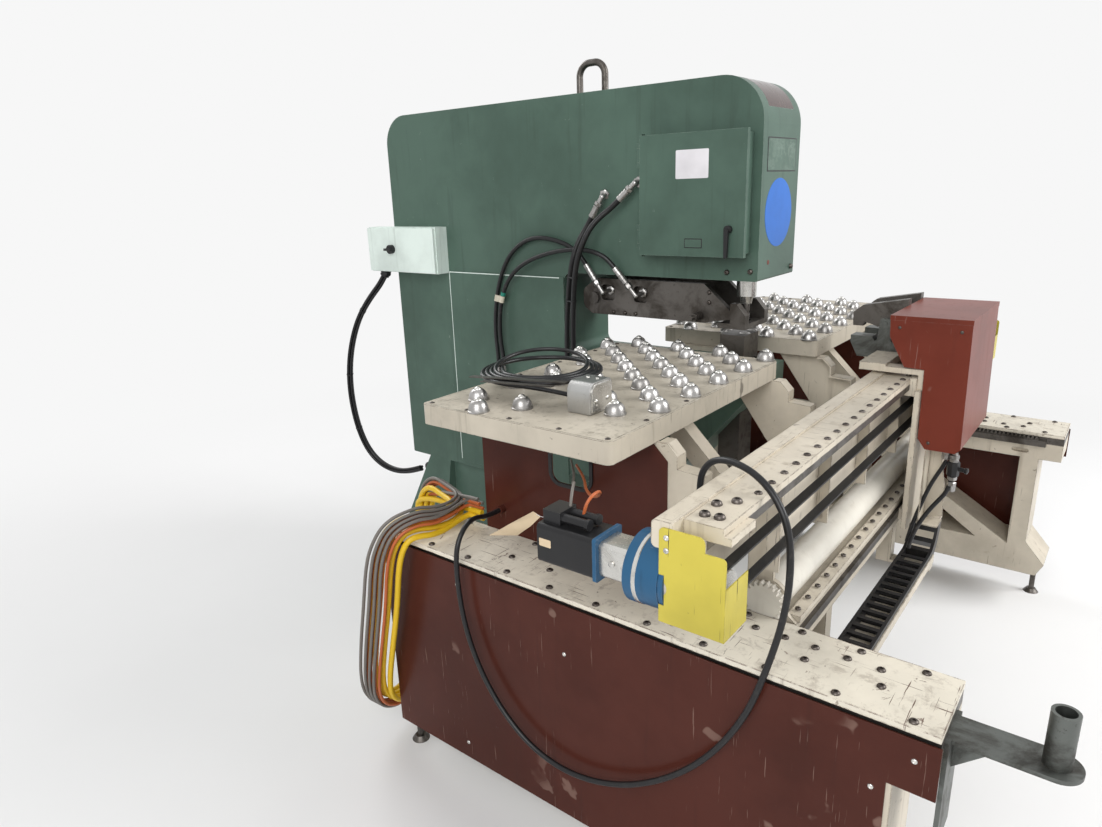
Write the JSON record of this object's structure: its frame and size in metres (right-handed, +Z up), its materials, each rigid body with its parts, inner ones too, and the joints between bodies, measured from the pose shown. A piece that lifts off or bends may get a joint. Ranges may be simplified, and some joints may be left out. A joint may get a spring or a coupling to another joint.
{
  "type": "sheet metal punching press",
  "caption": "Hydraulic C-frame punching press with ball-topped tables and a rack-driven gantry whose belt-driven carriage clamps and moves the sheet.",
  "frame": {"origin": "on the floor under the middle of the bounding box", "axes": "+Z up; +X along the gantry, to the side away from the drive motor; +Y from the gantry back to the column"},
  "size_m": [2.4265, 2.7894, 1.952],
  "materials": {
    "green_paint": "satin",
    "pale_green_paint": "satin",
    "cream_paint": "satin, worn",
    "brown_paint": "gloss",
    "red_brown_paint": "satin",
    "yellow_paint": "satin",
    "blue_paint": "satin",
    "black_paint": "satin",
    "dark_steel": "oiled",
    "bright_steel": "machined",
    "zinc_steel": "zinc plated",
    "black_plastic": "matt",
    "black_rubber": "matt",
    "smoked_sheet": "glossy",
    "yellow_cable": "matt"
  },
  "bodies": {
    "machine": {"arm_hoses": "black_rubber", "ball_cups": "zinc_steel", "ball_tips": "bright_steel", "base_frames": "cream_paint", "base_panels": "brown_paint", "base_plates": "cream_paint", "cable_coil": "yellow_cable", "column_cover": "green_paint", "control_box": "green_paint", "cross_beam": "cream_paint", "die": "bright_steel", "die_holder": "dark_steel", "front_arm": "dark_steel", "levelling_feet": "dark_steel", "lifting_eye": "dark_steel", "nose_window": "smoked_sheet", "press_frame": "green_paint", "slug_chute": "dark_steel", "stripper_hoses": "black_rubber", "stripper_pin": "dark_steel", "switch_box": "pale_green_paint", "switch_cables": "black_rubber", "table_brackets": "cream_paint", "table_cables": "black_rubber", "table_frames": "cream_paint", "table_panels": "brown_paint", "table_tops": "cream_paint", "window_seals": "black_rubber", "y_rails": "dark_steel"},
    "gantry": {"gantry_beam": "cream_paint", "upper_rail_plate": "cream_paint", "gantry_web": "cream_paint", "lower_beam": "cream_paint", "lower_rail_plate": "cream_paint", "x_rails": "dark_steel", "gantry_ends": "cream_paint", "drive_brackets": "cream_paint", "gearbox": "blue_paint", "x_motor": "black_paint", "drive_belt": "black_rubber", "belt_guards": "yellow_paint", "chain_tray": "cream_paint", "energy_chain": "black_plastic", "cable_loop": "black_rubber"},
    "torque_tube": {"torque_tube": "cream_paint"},
    "drive_pulley": {"drive_pulley": "bright_steel"},
    "idler_pulley": {"idler_pulley": "bright_steel"},
    "carriage": {"carriage_slide": "cream_paint", "carriage_cover": "red_brown_paint", "cover_lid": "red_brown_paint", "clamp_bodies": "dark_steel", "carriage_fold": "cream_paint"},
    "near_clamp_jaw": {"near_clamp_jaw": "dark_steel"},
    "far_clamp_jaw": {"far_clamp_jaw": "dark_steel"},
    "box_door": {"box_door": "green_paint"},
    "door_handle": {"door_handle": "black_plastic"},
    "switch_knob": {"switch_knob": "black_plastic"},
    "ram": {"ram": "bright_steel", "punch": "dark_steel"},
    "stripper_arm": {"stripper_arm": "dark_steel"}
  },
  "joints": [
    {"name": "gantry_slide", "type": "slide", "parent": "machine", "child": "gantry", "axis": [0, 1, 0], "range_m": [-0.28, 0.08], "deforming": ["cable_loop"]},
    {"name": "torque_tube_spin", "type": "hinge", "parent": "gantry", "child": "torque_tube", "pos_m": [0, -0.692, 0.70625], "axis": [1, 0, 0], "range_deg": [-113, 385]},
    {"name": "carriage_slide", "type": "slide", "parent": "gantry", "child": "carriage", "axis": [1, 0, 0], "range_m": [-0.66, 0.45], "deforming": ["energy_chain"]},
    {"name": "drive_pulley_spin", "type": "hinge", "parent": "gantry", "child": "drive_pulley", "pos_m": [-1.15, -0.748, 0.911], "axis": [0, 1, 0], "range_deg": [-1174, 802]},
    {"name": "idler_pulley_spin", "type": "hinge", "parent": "gantry", "child": "idler_pulley", "pos_m": [1.15, -0.748, 0.911], "axis": [0, 1, 0], "range_deg": [-1174, 802]},
    {"name": "near_clamp_pivot", "type": "hinge", "parent": "carriage", "child": "near_clamp_jaw", "pos_m": [0.15, -0.641, 1.146], "axis": [1, 0, 0], "range_deg": [-14, 0]},
    {"name": "far_clamp_pivot", "type": "hinge", "parent": "carriage", "child": "far_clamp_jaw", "pos_m": [0.29, -0.641, 1.146], "axis": [1, 0, 0], "range_deg": [-14, 0]},
    {"name": "door_hinge", "type": "hinge", "parent": "machine", "child": "box_door", "pos_m": [-0.1795, 0.009, 1.523], "axis": [0, 0, 1], "range_deg": [-110, 0]},
    {"name": "handle_turn", "type": "hinge", "parent": "box_door", "child": "door_handle", "pos_m": [-0.1935, -0.29, 1.43], "axis": [1, 0, 0], "range_deg": [0, 90]},
    {"name": "switch_turn", "type": "hinge", "parent": "machine", "child": "switch_knob", "pos_m": [-0.202, 1.12584, 1.34744], "axis": [1, 0, 0], "range_deg": [0, 90]},
    {"name": "ram_stroke", "type": "slide", "parent": "machine", "child": "ram", "axis": [0, 0, 1], "range_m": [-0.047, 0]},
    {"name": "stripper_pivot", "type": "hinge", "parent": "machine", "child": "stripper_arm", "pos_m": [0, 0.244, 1.196], "axis": [1, 0, 0], "range_deg": [0, 2], "deforming": ["stripper_hoses"]}
  ],
  "couplings": [
    {"joint": "torque_tube_spin", "follows": "gantry_slide", "rad_per_m": -23.81},
    {"joint": "drive_pulley_spin", "follows": "carriage_slide", "rad_per_m": 30.96},
    {"joint": "idler_pulley_spin", "follows": "carriage_slide", "rad_per_m": 30.96}
  ]
}
